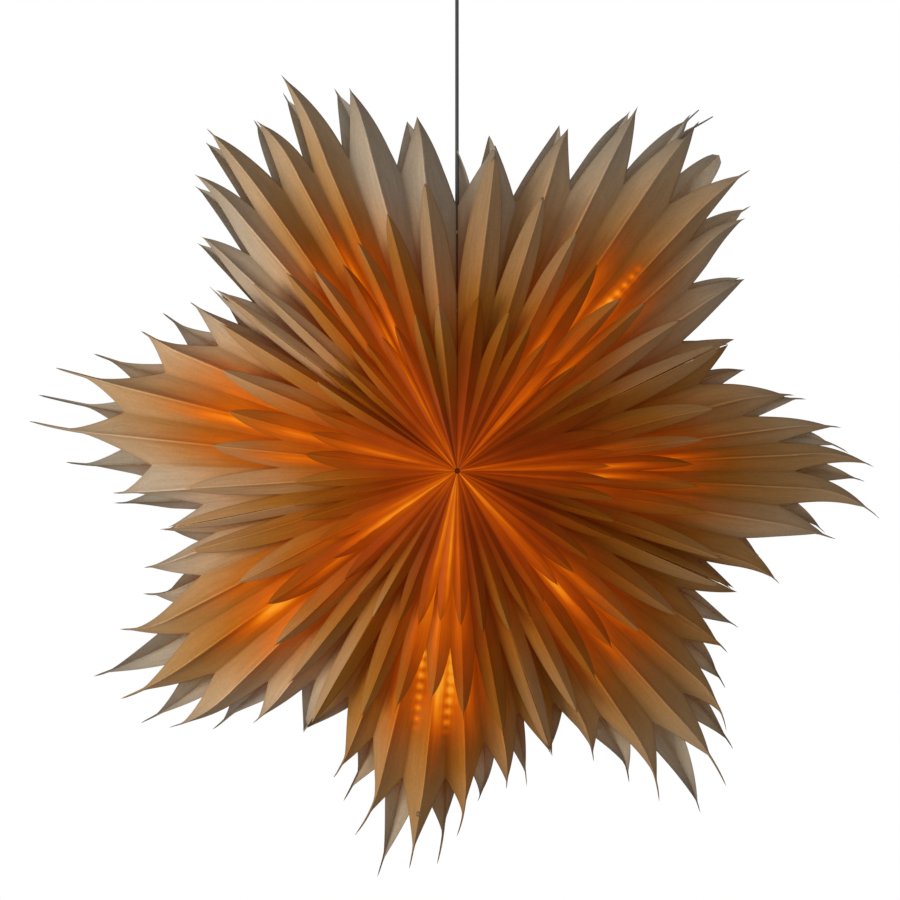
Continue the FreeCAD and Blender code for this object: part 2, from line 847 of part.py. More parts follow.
def cup():
    """The ceiling cup: a thin spun cone that hides the hook, with two side screws."""
    inner = "(Sizes.plate_radius + Sizes.cup_room)"
    low = "-Sizes.cup_depth"
    shoulder = "(-Sizes.skirt_depth - 8)"
    corners = [
        (inner, "-Sizes.cup_top"),
        (inner + " + Sizes.cup_wall", "-Sizes.cup_top"),
        (inner + " + Sizes.cup_wall", shoulder),
        ("Sizes.cup_neck + Sizes.cup_wall", low),
        ("Sizes.cup_opening", low),
        ("Sizes.cup_opening", low + " + Sizes.cup_wall"),
        ("Sizes.cup_neck", low + " + Sizes.cup_wall"),
        (inner, shoulder),
    ]
    body = revolved("cup_shell", corners, "Z")
    wall = read("plate_radius") + read("cup_room") + read("cup_wall")
    holes = []
    side_screws = []
    for number, sign in enumerate((-1, 1)):
        spot = Vector(0, sign * (read("plate_radius") - 6), -6)
        out = Vector(0, sign, 0)
        room = "Sizes.cup_screw_radius + Sizes.cord_room"
        holes.append(cylinder("cup_hole_%d" % number, room, "10", spot, out))
        shank_spot = Vector(0, sign * (read("plate_radius") + 0.2), -6)
        shank = cylinder(
            "cup_shank_%d" % number,
            "Sizes.cup_screw_radius",
            "Sizes.cup_room + Sizes.cup_wall",
            shank_spot,
            out,
        )
        head_spot = Vector(0, sign * (wall + 0.1), -6)
        head = cylinder("cup_head_%d" % number, "Sizes.cup_screw_head", "2", head_spot, out)
        side_screws.append(fused("cup_screw_%d" % number, [shank, head]))
    name_part(cut("ceiling_cup", body, fused("cup_tools", holes)), "ceiling_cup")
    name_part(group("cup_screws", side_screws), "cup_screws")


cup()
doc.recompute()

for thing in doc.Objects:
    for word in thing.State:
        if "Invalid" in word or "Error" in word:
            raise RuntimeError("%s is %s" % (thing.Name, word))
for node in nodes:
    shape = node.Shape
    if shape.isNull() or not shape.isValid():
        raise RuntimeError("%s has no sound shape" % node.Label)
    shape.exportStep("parts/%s.step" % node.Label)
    print(
        "%-24s solids %3d volume %10.1f box %s"
        % (node.Label, len(shape.Solids), shape.Volume, shape.BoundBox)
    )
print("%d sub-parts" % len(nodes))
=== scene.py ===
import json
import math
import random

import bmesh
import bpy
from mathutils import Matrix, Vector


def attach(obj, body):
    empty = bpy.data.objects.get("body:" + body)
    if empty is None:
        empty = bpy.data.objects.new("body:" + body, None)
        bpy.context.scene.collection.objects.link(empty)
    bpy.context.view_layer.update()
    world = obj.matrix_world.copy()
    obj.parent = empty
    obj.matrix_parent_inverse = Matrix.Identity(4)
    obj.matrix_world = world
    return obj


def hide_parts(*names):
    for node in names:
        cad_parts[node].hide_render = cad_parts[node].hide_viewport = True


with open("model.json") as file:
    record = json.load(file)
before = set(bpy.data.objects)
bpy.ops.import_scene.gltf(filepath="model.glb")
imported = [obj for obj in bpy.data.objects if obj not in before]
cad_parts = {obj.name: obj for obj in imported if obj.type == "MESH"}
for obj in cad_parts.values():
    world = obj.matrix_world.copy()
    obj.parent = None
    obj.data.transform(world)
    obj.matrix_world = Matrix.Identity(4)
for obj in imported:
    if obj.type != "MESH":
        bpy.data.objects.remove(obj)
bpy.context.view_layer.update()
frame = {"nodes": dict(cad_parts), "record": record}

# The camera and the studio. The star hangs in front of plain white with no floor in sight. A soft
# lamp stands on the left, a little under the star's middle, so the left arms are paler. A weak one
# in front and one behind lift the rest.

drop = 0.56
star_middle = Vector((0, 0, -drop))

camera_data = bpy.data.cameras.new("camera")
camera_data.lens = 85
camera_data.sensor_width = 36
camera = bpy.data.objects.new("camera", camera_data)
bpy.context.collection.objects.link(camera)
camera.location = (-0.0066, -2.019, -drop + 0.019)
camera.rotation_euler = (math.radians(90), 0, 0)
bpy.context.scene.camera = camera
bpy.context.scene.view_settings.view_transform = "Standard"


def link(tree, a, b):
    """Join two sockets of a node tree."""
    tree.links.new(a, b)


def add(tree, kind, x=0, y=0, **settings):
    """Put a node of a kind in a tree, with its properties set."""
    node = tree.nodes.new(kind)
    node.location = (x, y)
    for name, value in settings.items():
        setattr(node, name, value)
    return node


def maths(tree, kind, first, second, x, y):
    """One sum of two sockets or numbers."""
    node = add(tree, "ShaderNodeMath", x, y, operation=kind)
    for number, value in enumerate((first, second)):
        if isinstance(value, (int, float)):
            node.inputs[number].default_value = value
        else:
            link(tree, value, node.inputs[number])
    return node.outputs[0]


# The backdrop is pure white to the eye and in reflections, and lights the paper more weakly.
world = bpy.data.worlds.new("studio")
world.use_nodes = True
tree = world.node_tree
tree.nodes.clear()
seen = add(tree, "ShaderNodeBackground", 0, 100)
seen.inputs["Color"].default_value = (1, 1, 1, 1)
seen.inputs["Strength"].default_value = 1
fill = add(tree, "ShaderNodeBackground", 0, -100)
fill.inputs["Color"].default_value = (0.93, 0.96, 1, 1)
fill.inputs["Strength"].default_value = 0.36
rays = add(tree, "ShaderNodeLightPath", -400, 100).outputs
seen_ray = maths(tree, "MAXIMUM", rays["Is Camera Ray"], rays["Is Transmission Ray"], -200, 100)
seen_ray = maths(tree, "MAXIMUM", seen_ray, rays["Is Glossy Ray"], 0, 300)
choose = add(tree, "ShaderNodeMixShader", 200)
out = add(tree, "ShaderNodeOutputWorld", 400)
link(tree, seen_ray, choose.inputs[0])
link(tree, fill.outputs[0], choose.inputs[1])
link(tree, seen.outputs[0], choose.inputs[2])
link(tree, choose.outputs[0], out.inputs["Surface"])
bpy.context.scene.world = world


def lamp(name, place, power, width, colour=(1, 1, 1)):
    """A soft square lamp that faces the star's middle."""
    data = bpy.data.lights.new(name, "AREA")
    data.energy = power
    data.size = width
    data.color = colour
    lit = bpy.data.objects.new(name, data)
    bpy.context.collection.objects.link(lit)
    lit.visible_camera = False
    lit.location = place
    aim = star_middle - Vector(place)
    lit.rotation_euler = aim.to_track_quat("-Z", "Y").to_euler()


lamp("key_left", (-1.45, -0.85, -0.66), 27, 0.7, (1, 0.97, 0.92))
lamp("fill_front", (0.5, -3.0, -0.3), 9, 2.0)
lamp("rim_back", (-0.7, 2.0, 0.3), 12, 2.4)


# The paper leaves. Each of the seven arms is a fan of pleated parchment paper, front and back,
# glued to its neighbours along the outer folds. Every ridge ends in a leaf that is cut out of the
# sheet, from a long one at the back to a short one in front, and many end in a curled thread.

# Angles are in degrees, anticlockwise as seen from the front, and lengths are in metres.
first_arm = 119
arm_pitch = 48.4
arm_length = 0.392
pole_depth = 0.0904
paper = 0.0004
pole_hole = 0.0025
ridge_inset = 0.003
valley_inset = 0.006
row_step = 0.0008

# A fold is an angle from its arm's middle and a length. The first one is shared by two arms, and
# the others close the star on both sides of the cord.
side_fold = (24.1, 0.285)
left_close = (-28.85, 0.2501)
right_close = (40.45, 0.2501)
back_notch = (37.3, 0.2619)
back_close = (40.45, 0.3042)

# A tip is an angle from its arm's middle and a length in hundredths of arm_length.
front_tips = {
    1: ((-22.8, 85.7), (-13.8, 96.4), (-6, 102.0), (-0.6, 96.7), (6.2, 102.6), (11.4, 95.4), (18.4, 84.2)),
    2: ((-19.4, 77.6), (-10.4, 84.4), (-1.4, 101.0), (6.8, 102.6), (16.6, 81.6)),
    3: ((-18.4, 77.6), (-8.4, 89.3), (-0.2, 99.5), (8.6, 91.3), (16.2, 79.6)),
    4: ((-15.3, 79.1), (-8, 89.8), (-0.2, 98.5), (7.4, 87.2), (15.6, 78.1)),
    5: ((-16, 79.3), (-8.6, 92.3), (-0.8, 100.3), (6.4, 91.3), (14.4, 77.6)),
    6: ((-18.8, 81.6), (-10.4, 93.4), (-4, 102.0), (1.6, 101.5), (6.4, 92.9), (13, 82.4)),
    7: ((-15.4, 82.9), (-7.4, 93.9), (-2.4, 102.0), (6.4, 103.0), (14.2, 96.4), (22.8, 85.7), (33.7, 79.3)),
}
back_tips = {
    1: ((-21.5, 85.2), (-12.6, 96.7), (-4.8, 101.5), (0.6, 95.7), (7.4, 102.0), (12.6, 93.9), (19.4, 83.4)),
    2: ((-14.8, 78.6), (-5, 92.3), (3, 102.0), (11.6, 92.9), (19, 82.1)),
    3: ((-12.9, 81.4), (-4.6, 100.0), (4, 96.9), (11.8, 86.7)),
    4: ((-11.8, 82.9), (-4.4, 99.0), (3.6, 94.9), (11.2, 82.1), (18.8, 76.5)),
    5: ((-12.4, 84.2), (-4.6, 99.5), (3.4, 94.9), (10.6, 83.2), (18.8, 76.3)),
    6: ((-15, 77.8), (-8, 90.8), (-1, 101.0), (5, 94.4), (12, 84.2), (19.2, 74.0)),
    7: ((-14.1, 82.4), (-6.2, 93.4), (1.6, 100.8), (7.8, 102.5), (15.5, 95.9), (24.1, 85.2), (35, 79.1)),
}

# The two inner rows run back less steeply than the long one and start a little further out at the
# pole. Their tips are given as a length, what it gains per degree, and the length of the notches.
row_lift = {"long": 0.0, "middle": 0.05, "short": 0.11}
row_order = {"long": 0, "middle": 1, "short": 2}
row_tip = {"middle": (0.2148, 0.0024, 0.1631), "short": (0.1399, 0.00065, 0.1031)}

# Arm by arm: how many degrees a tip curls, how slim its leaves are, how strongly the light shows
# through and how far out, how pale the paper is painted in all and towards its sides, how dry its
# tips are, and how much of a leaf is a thin thread. The paleness is painted light: palest on the
# left arm, darker as painted shade on the lower and right ones, and paler between the arms.
tip_curl = {1: 1.7, 2: -1.1, 3: -2.6, 4: -2.0, 5: -3.4, 6: -3.2, 7: -1.3}
edge_power = {1: 0.86, 2: 1.5, 3: 1.15, 4: 1.25, 5: 1.05, 6: 0.95, 7: 0.84}
arm_glow = {1: 0.95, 2: 1.1, 3: 1.12, 4: 1.25, 5: 1.0, 6: 0.88, 7: 0.95}
glow_reach = {1: 0.175, 2: 0.2, 3: 0.19, 4: 0.185, 5: 0.165, 6: 0.165, 7: 0.18}
arm_painted_light = {1: 1.0, 2: 1.03, 3: 0.99, 4: 0.91, 5: 0.92, 6: 0.95, 7: 0.98}
side_painted_light = {1: 0.6, 2: 0.62, 3: 0.5, 4: 0.3, 5: 0.2, 6: 0.2, 7: 0.4}
dry_tip = {1: 0.5, 2: 0.95, 3: 0.9, 4: 1.0, 5: 1.0, 6: 0.75, 7: 0.5}
thread_share = {1: 0.12, 2: 0.36, 3: 0.32, 4: 0.42, 5: 0.3, 6: 0.2, 7: 0.12}


def fold_list(arm, row, side):
    """One arm's folds, lowest angle first: angle, slope, reach in metres, and if it is a ridge."""
    tips = (front_tips if side < 0 else back_tips)[arm]
    ridges = [(angle, share * arm_length / 100, True) for angle, share in tips]
    if arm > 1:
        ridges.insert(0, (-side_fold[0], side_fold[1], True))
    if arm < 7:
        ridges.append((*side_fold, True))
    folds = [ridges[0]]
    for before, after in zip(ridges, ridges[1:]):
        folds += [((before[0] + after[0]) / 2, 0.4 * (before[1] + after[1]), False), after]
    if arm == 1:
        folds.insert(0, (*left_close, False))
    if arm == 7 and row == "long" and side > 0:
        folds += [(*back_notch, False), (*back_close, True)]
    elif arm == 7:
        folds.append((*right_close, False))
    finished = []
    for angle, full, ridge in folds:
        slope = (pole_depth - (ridge_inset if ridge else valley_inset)) / full - row_lift[row]
        reach = full
        if row != "long":
            tip, rise, notch = row_tip[row]
            reach = tip + rise * abs(angle) if ridge else notch
        finished.append((angle, slope, reach, ridge))
    return finished


def bell(value, middle, width):
    """A smooth hump: one at its middle and none far from it."""
    return math.exp(-(((value - middle) / width) ** 2))


# The light through each row of leaves: a beam along the arm's middle, as a strength and a width,
# and a haze all across it, as a strength, a place and a width. Only the long leaves differ by arm
# in where the beam lies, and the short ones also catch the light round the pole.
light_beam = {"long": (0.56, 0.07), "middle": (0.46, 0.085), "short": (0.36, 0.085)}
beam_place = {"middle": 0.11, "short": 0.07}
light_haze = {"long": (0.1, 0.12, 0.1), "middle": (0.13, 0.09, 0.09), "short": (0.13, 0.05, 0.08)}


def glow_at(radius, angle, row, out, arm):
    """How brightly the lights inside show through one spot of paper."""
    centre = bell(angle, 0, 12)
    beam, beam_width = light_beam[row]
    beam_at = beam_place.get(row, glow_reach[arm] - 0.012)
    haze, haze_at, haze_width = light_haze[row]
    level = beam * centre * bell(radius, beam_at, beam_width) + haze * bell(radius, haze_at, haze_width)
    if row == "short":
        level += 0.32 * (1 - 0.45 * centre) * bell(radius, 0, 0.038)
    return level * (1 - 0.2 * out)


# Half a leaf is a grid with these shares of its width, in 11 steps to the notch and 18 beyond it.
columns = (0, 0.05, 0.13, 0.26, 0.48, 0.74, 0.94, 1)
straight = 11
free = 18
thread_width = 0.075


def leaf_share(past, power, thread):
    """How wide a leaf still is, past its notch, as a share of its width there."""
    body = max(0.0, 1 - past / (1 - thread)) ** power
    return max(body, min(1.0, thread_width * (1 - past) ** 0.45 if thread else 0.0))


def leaf_depth(leaf, valley_slope, radius, past, out):
    """How deep one spot of a leaf lies, between its ridge and its valley, with a soft hollow."""
    fall = (valley_slope - leaf["slope"]) * radius
    reach_share = min(1.0, radius / leaf["tip"])
    hollow = leaf["hollow"] * bell(reach_share, 0.72, 0.34) * (1 - math.exp(-out / 0.1)) * (1 - out)
    hollow *= (1 - past) ** 1.5
    return leaf["slope"] * radius + fall * (out + hollow) - leaf["pole"]


# How much the light differs between the halves of a leaf, how bright its streak is, and how far
# out that streak lies.
uneven_halves = 0.26
streaks = {"long": 0.5, "middle": 0.45, "short": 0.22}
streak_place = {"long": 1.06, "middle": 0.72, "short": 0.42}


def leaf_light(leaf, radius, angle, out, step):
    """How brightly one spot of a leaf is lit from inside, with the leaf's own streak of light."""
    tint = leaf["tint"] * (1 + uneven_halves * step * leaf["uneven"])
    own = leaf["core"] * bell(radius, 0.01, 0.024)
    if step == leaf["streak_side"]:
        own += leaf["streak"] * bell(out, 0.32, 0.26) * bell(radius, leaf["streak_at"], 0.055)
    return tint * glow_at(radius, angle, leaf["row"], out, leaf["arm"]) + own


def half_leaf(made, layers, leaf, valley, step):
    """One half of a folded leaf, from the pole out to its tip, between its ridge and one valley."""
    arm = leaf["arm"]
    notch = valley[2]
    width = math.radians(abs(valley[0] - leaf["angle"]))
    tip = leaf["tip"]
    lines = straight + free
    grid = bmesh.ops.create_grid(made, x_segments=len(columns) - 1, y_segments=lines, size=0.5)
    notes = {}
    for corner in grid["verts"]:
        across = columns[round((corner.co.x + 0.5) * (len(columns) - 1))]
        line = round((corner.co.y + 0.5) * lines)
        past = max(0.0, (line - straight) / free)
        radius = notch + (tip - notch) * past
        if line < straight:
            radius = pole_hole + (notch - pole_hole) * line / straight
        out = across * leaf_share(past, leaf["power"], leaf["thread"])
        swept = max(0.0, (radius - leaf["base"]) / (tip - leaf["base"]))
        sweep = leaf["lean"] * swept + leaf["curl"] * swept**2.2 + leaf["sway"] * math.sin(3.1 * swept)
        angle = leaf["turn"] + math.radians(leaf["angle"]) + step * out * width + sweep
        depth = leaf_depth(leaf, valley[1], radius, past, out) + leaf["bend"] * swept**2
        corner.co = star_middle + Vector(
            (radius * math.cos(angle), -leaf["side"] * depth, radius * math.sin(angle))
        )
        local = leaf["angle"] + step * out * math.degrees(width)
        # Painted light: paler on the left arms and between the arms, darker on the lower ones, with a
        # random tone.
        tone_and_painted_light = arm_painted_light[arm] * leaf["aged"] * (1 + side_painted_light[arm] * (1 - bell(local, 0, 15)))
        corner[layers["glow"]] = leaf_light(leaf, radius, local, out, step)
        corner[layers["shade_ramp_place"]] = tone_and_painted_light * radius
        corner[layers["dry"]] = dry_tip[arm] * past**2.2 if leaf["row"] == "long" else 0
        spread = math.radians(local)
        notes[corner] = (
            (0.5 + 0.5 * step * across, radius),
            (radius * math.cos(spread), radius * math.sin(spread)),
        )
    for face in {face for corner in grid["verts"] for face in corner.link_faces}:
        face.smooth = True
        for loop in face.loops:
            loop[layers["leaf"]].uv, loop[layers["arm_plane"]].uv = notes[loop.vert]


def placed(name, made):
    """Put a finished bmesh in the scene as an object of its own."""
    mesh = bpy.data.meshes.new(name)
    made.to_mesh(mesh)
    made.free()
    piece = bpy.data.objects.new(name, mesh)
    bpy.context.collection.objects.link(piece)
    return piece


def leaf_row(name, arm, row, side, seed):
    """One row of one arm's leaves, as a thin closed sheet. side is -1 in front and 1 behind."""
    chance = random.Random(seed)
    folds = fold_list(arm, row, side)
    made = bmesh.new()
    layers = {
        "leaf": made.loops.layers.uv.new("leaf"),
        "arm_plane": made.loops.layers.uv.new("arm_plane"),
        "glow": made.verts.layers.float.new("glow"),
        "shade_ramp_place": made.verts.layers.float.new("shade_ramp_place"),
        "dry": made.verts.layers.float.new("dry"),
    }
    for number, (angle, slope, reach, ridge) in enumerate(folds):
        if not ridge:
            continue
        # Leaves on a shared fold have no hollow, so that two arms meet. One back leaf is blunt.
        is_long = row == "long"
        long_row = 1.0 if is_long else 0.3
        inside = max(0.0, 1 - (angle / 25) ** 2)
        held = abs(angle) > 24 and not (arm == 7 and angle > 30)
        blunt = arm == 7 and is_long and side > 0 and 0 < angle < 3
        beside = [folds[place][2] for place in (number - 1, number + 1) if 0 <= place < len(folds)]
        slim = edge_power[arm] ** (0.25 + inside)
        glow_spread = (0.75, 1.2) if is_long else (0.6, 1.2)
        age_spread = (0.9, 1.1) if is_long else (0.8, 1.3)
        leaf = {
            "arm": arm,
            "base": max(beside),
            "row": row,
            "side": side,
            "angle": angle,
            "slope": slope,
            "pole": pole_depth + row_order[row] * row_step,
            "turn": math.radians(first_arm + (arm - 1) * arm_pitch),
            "tip": reach * (1 + long_row * chance.uniform(-0.02, 0.03)),
            "curl": math.radians(tip_curl[arm] * chance.uniform(0.35, 1.15)) * inside * long_row,
            "lean": math.radians(chance.uniform(-0.35, 0.35)),
            "sway": math.radians(chance.uniform(-0.25, 0.25)) * long_row,
            "bend": chance.uniform(-0.004, 0.008) * long_row,
            "power": slim * chance.uniform(0.88, 1.12) if is_long else 0.66,
            "thread": 0 if blunt else thread_share[arm] * chance.uniform(0.3, 1.2) * inside * long_row,
            "hollow": 0 if held else chance.uniform(0.3, 0.62) * (1 if is_long else 0.7),
            "tint": arm_glow[arm] * chance.uniform(*glow_spread),
            "streak": streaks[row] * arm_glow[arm] * chance.uniform(0.5, 1.2) * bell(angle, 0, 9),
            "streak_side": chance.choice((-1, 1)),
            "streak_at": glow_reach[arm] * streak_place[row],
            "core": chance.choice((0, 0, 0.24)) if row == "short" and inside > 0.7 else 0,
            "uneven": chance.uniform(-1, 1),
            "aged": chance.uniform(*age_spread),
        }
        if blunt:
            leaf["power"] = 0.5
        for step in (-1, 1):
            if 0 <= number + step < len(folds):
                half_leaf(made, layers, leaf, folds[number + step], step)
    bmesh.ops.remove_doubles(made, verts=made.verts[:], dist=0.00002)
    bmesh.ops.recalc_face_normals(made, faces=made.faces[:])
    bmesh.ops.solidify(made, geom=made.faces[:], thickness=paper * 0.7)
    return placed(name, made)


def ramp(tree, stops, source, x, y):
    """The colour that a ramp of several stops gives for one socket."""
    node = add(tree, "ShaderNodeValToRGB", x, y)
    points = node.color_ramp.elements
    while len(points) > 1:
        points.remove(points[-1])
    points[0].position = stops[0][0]
    points[0].color = (*stops[0][1], 1)
    for place, colour in stops[1:]:
        made = points.new(place)
        made.color = (*colour, 1)
    link(tree, source, node.inputs[0])
    return node.outputs[0]


def noisy(tree, source, scale, detail, x, y):
    """A noise texture laid out by one socket."""
    node = add(tree, "ShaderNodeTexNoise", x, y)
    node.inputs["Scale"].default_value = scale
    node.inputs["Detail"].default_value = detail
    link(tree, source, node.inputs["Vector"])
    return node


def multiplied(tree, first, second, x, y):
    """Two colours multiplied."""
    node = add(tree, "ShaderNodeMixRGB", x, y, blend_type="MULTIPLY")
    node.inputs[0].default_value = 1
    link(tree, first, node.inputs[1])
    link(tree, second, node.inputs[2])
    return node.outputs[0]


def tinted_by_share(tree, colour, stain, share, x, y):
    """A colour multiplied by a fixed one, by the share that a socket gives."""
    node = add(tree, "ShaderNodeMixRGB", x, y, blend_type="MULTIPLY")
    node.inputs[2].default_value = (*stain, 1)
    link(tree, share, node.inputs[0])
    link(tree, colour, node.inputs[1])
    return node.outputs[0]


chip_pitch = 0.0105
dot_scale = 110
dot_light = 0.55
band_fade = 0.012
dot_stops = [(0.0, (1, 1, 1)), (0.22, (0.62, 0.62, 0.62)), (0.5, (0.2, 0.2, 0.2)), (1.0, (0, 0, 0))]


def dotted_light(tree, rows, start, end):
    """Soft round spots in rows along the arm, where the lights sit close behind the paper."""
    plane = add(tree, "ShaderNodeUVMap", -1500, 1100, uv_map="arm_plane")
    spots = add(tree, "ShaderNodeSeparateXYZ", -1300, 1100)
    link(tree, plane.outputs[0], spots.inputs[0])
    total = None
    for row in rows:
        shifted = maths(tree, "ADD", spots.outputs[0], row / 3, -1250, 1150)
        along = maths(tree, "PINGPONG", shifted, chip_pitch / 2, -1100, 1150)
        along = maths(tree, "POWER", along, 2, -800, 1150)
        beside = maths(tree, "SUBTRACT", spots.outputs[1], row, -950, 1000)
        beside = maths(tree, "ABSOLUTE", beside, 0, -850, 1000)
        beside = maths(tree, "POWER", beside, 2, -800, 1000)
        far = maths(tree, "SQRT", maths(tree, "ADD", along, beside, -650, 1100), 0, -500, 1100)
        far = maths(tree, "MULTIPLY", far, dot_scale, -350, 1100)
        dot = ramp(tree, dot_stops, far, -200, 1100)
        total = dot if total is None else maths(tree, "ADD", total, dot, 0, 1150)
    centred = maths(tree, "SUBTRACT", spots.outputs[0], (start + end) / 2, -500, 1400)
    from_middle = maths(tree, "ABSOLUTE", centred, 0, -350, 1400)
    band = add(tree, "ShaderNodeMapRange", -200, 1400, interpolation_type="SMOOTHSTEP")
    band.inputs["From Min"].default_value = (end - start) / 2
    band.inputs["From Max"].default_value = (end - start) / 2 - band_fade
    link(tree, from_middle, band.inputs["Value"])
    shown = maths(tree, "MULTIPLY", total, band.outputs[0], 50, 1200)
    return maths(tree, "MULTIPLY", shown, dot_light, 200, 1200)


shade_ramp_scale = 2.4
fibre_stretch = (15, 26, 1)
tone_stops = [(0.25, (0.84, 0.83, 0.82)), (0.75, (1.1, 1.1, 1.1))]
grain_stops = [(0.3, (0.94, 0.935, 0.93)), (0.7, (1.05, 1.05, 1.05))]
# A painted highlight along the ridge fold, and painted shade along the valleys and free edges.
fold_highlight_and_shade_stops = [
    (0.0, (1.5, 1.46, 1.4)),
    (0.03, (1.05, 1.04, 1.02)),
    (0.42, (1.0, 1.0, 1.0)),
    (0.5, (0.86, 0.83, 0.8)),
]
glow_stops = [
    (0.0, (0.0, 0.0, 0.0)),
    (0.12, (0.085, 0.0085, 0.0006)),
    (0.3, (0.25, 0.030, 0.0008)),
    (0.55, (0.54, 0.088, 0.0012)),
    (0.8, (0.89, 0.235, 0.005)),
    (1.0, (1.0, 0.40, 0.025)),
]


def paper_colour_and_shade(tree, uv, fibre, cloud, fleck, colour_and_shade_stops):
    """The paper's colour with painted shade, darkest and reddest in the middle, with fibres, flecks, a
    painted highlight along the ridge fold and painted shade at the valleys.
    """
    shade_ramp_place = add(tree, "ShaderNodeAttribute", -1100, 400, attribute_name="shade_ramp_place")
    wander = maths(tree, "SUBTRACT", cloud, 0.5, -900, -400)
    wander = maths(tree, "MULTIPLY", wander, 0.05, -750, -400)
    radius = maths(tree, "ADD", shade_ramp_place.outputs["Fac"], wander, -600, 400)
    radius = maths(tree, "MULTIPLY", radius, shade_ramp_scale, -450, 400)
    colour = ramp(tree, colour_and_shade_stops, radius, -300, 400)
    colour = multiplied(tree, colour, ramp(tree, tone_stops, fibre, -300, 0), 0, 300)
    colour = multiplied(tree, colour, ramp(tree, grain_stops, fleck, -300, -700), 100, 300)
    parts = add(tree, "ShaderNodeSeparateXYZ", -1100, 200)
    link(tree, uv, parts.inputs[0])
    from_fold = maths(tree, "SUBTRACT", parts.outputs[0], 0.5, -900, 200)
    from_fold = maths(tree, "ABSOLUTE", from_fold, 0, -750, 200)
    return multiplied(tree, colour, ramp(tree, fold_highlight_and_shade_stops, from_fold, -300, 200), 200, 300)


def inside_light(tree, fibre, cloud, rows, start, end):
    """The light painted on from inside, cloudy like the paper and strongest where it is thin."""
    glow = add(tree, "ShaderNodeAttribute", -1100, 700, attribute_name="glow")
    varied = maths(tree, "ADD", maths(tree, "MULTIPLY", cloud, 0.8, -600, 700), 0.6, -450, 700)
    light = maths(tree, "MULTIPLY", glow.outputs["Fac"], varied, -300, 700)
    thin = maths(tree, "ADD", maths(tree, "MULTIPLY", fibre, 0.4, -450, 850), 0.8, -300, 850)
    light = maths(tree, "MULTIPLY", light, thin, -150, 700)
    if rows:
        light = maths(tree, "ADD", light, dotted_light(tree, rows, start, end), 300, 900)
    return light


def leaf_paper(name, colour_and_shade_stops, strength, sheer, rows=(), start=0, end=0):
    """Parchment paper with lengthwise fibres, darkened towards the pole as painted shade, and light painted
    on through it, dotted along any rows.
    """
    material = bpy.data.materials.new(name)
    material.use_nodes = True
    tree = material.node_tree
    tree.nodes.clear()
    uv = add(tree, "ShaderNodeUVMap", -1500, 0, uv_map="leaf").outputs[0]
    stretch = add(tree, "ShaderNodeMapping", -1300, 0)
    stretch.inputs["Scale"].default_value = fibre_stretch
    link(tree, uv, stretch.inputs[0])
    fibres = noisy(tree, stretch.outputs[0], 1, 6, -1100, 0)
    fibres.inputs["Roughness"].default_value = 0.6
    fibre = fibres.outputs[0]
    place = add(tree, "ShaderNodeTexCoord", -1500, -400).outputs["Object"]
    cloud = noisy(tree, place, 18, 4, -1100, -400).outputs[0]
    fleck = noisy(tree, place, 420, 3, -1100, -700).outputs[0]

    # The thin tips are dry and dark, and where the inside light is painted on, the colour turns amber as
    # painted light too.
    light = inside_light(tree, fibre, cloud, rows, start, end)
    colour = paper_colour_and_shade(tree, uv, fibre, cloud, fleck, colour_and_shade_stops)
    dry = add(tree, "ShaderNodeAttribute", 100, 600, attribute_name="dry")
    colour = tinted_by_share(tree, colour, (0.36, 0.31, 0.27), dry.outputs["Fac"], 300, 450)
    painted_glow_tint = maths(tree, "MINIMUM", maths(tree, "MULTIPLY", light, 2, 300, 500), 1, 400, 500)
    colour = tinted_by_share(tree, colour, (0.82, 0.55, 0.16), painted_glow_tint, 450, 450)

    # The surface is dull, with fine ribs along the fibres, and lets some light scatter through.
    bump = add(tree, "ShaderNodeBump", 200, -200)
    bump.inputs["Strength"].default_value = 0.2
    bump.inputs["Distance"].default_value = 0.0005
    link(tree, fibre, bump.inputs["Height"])
    coat = add(tree, "ShaderNodeBsdfPrincipled", 800, 300)
    coat.inputs["Roughness"].default_value = 0.5
    coat.inputs["Specular IOR Level"].default_value = 0.08
    coat.inputs["Specular Tint"].default_value = (1, 0.72, 0.45, 1)
    coat.inputs["Emission Strength"].default_value = strength
    link(tree, colour, coat.inputs["Base Color"])
    link(tree, ramp(tree, glow_stops, light, 450, 700), coat.inputs["Emission Color"])
    link(tree, bump.outputs[0], coat.inputs["Normal"])
    through = add(tree, "ShaderNodeBsdfTranslucent", 800, -300)
    link(tree, colour, through.inputs["Color"])
    mixed = add(tree, "ShaderNodeMixShader", 1100)
    mixed.inputs[0].default_value = sheer
    link(tree, coat.outputs[0], mixed.inputs[1])
    link(tree, through.outputs[0], mixed.inputs[2])
    result = add(tree, "ShaderNodeOutputMaterial", 1300)
    link(tree, mixed.outputs[0], result.inputs["Surface"])
    return material


# Each ramp runs from the pole outwards. Its outer end is the paper's own colour, and the dark red towards
# the pole is painted shade of the deep pleats, tinted like lit paper. The inner rows' ramp is browner as
# painted shade where they lie over other leaves, and the back leaves' ramp is paler outside as painted
# light on leaves that lie in shade.
tan_with_painted_shade = [
    (0.0, (0.12, 0.018, 0.001)),
    (0.22, (0.17, 0.031, 0.001)),
    (0.40, (0.27, 0.084, 0.003)),
    (0.56, (0.35, 0.148, 0.017)),
    (0.70, (0.43, 0.240, 0.090)),
    (0.84, (0.49, 0.340, 0.200)),
    (1.0, (0.46, 0.37, 0.27)),
]
brown_with_painted_shade = [
    (0.0, (0.12, 0.018, 0.001)),
    (0.22, (0.16, 0.028, 0.001)),
    (0.40, (0.24, 0.073, 0.003)),
    (0.56, (0.31, 0.130, 0.018)),
    (0.72, (0.38, 0.205, 0.080)),
    (1.0, (0.40, 0.26, 0.14)),
]
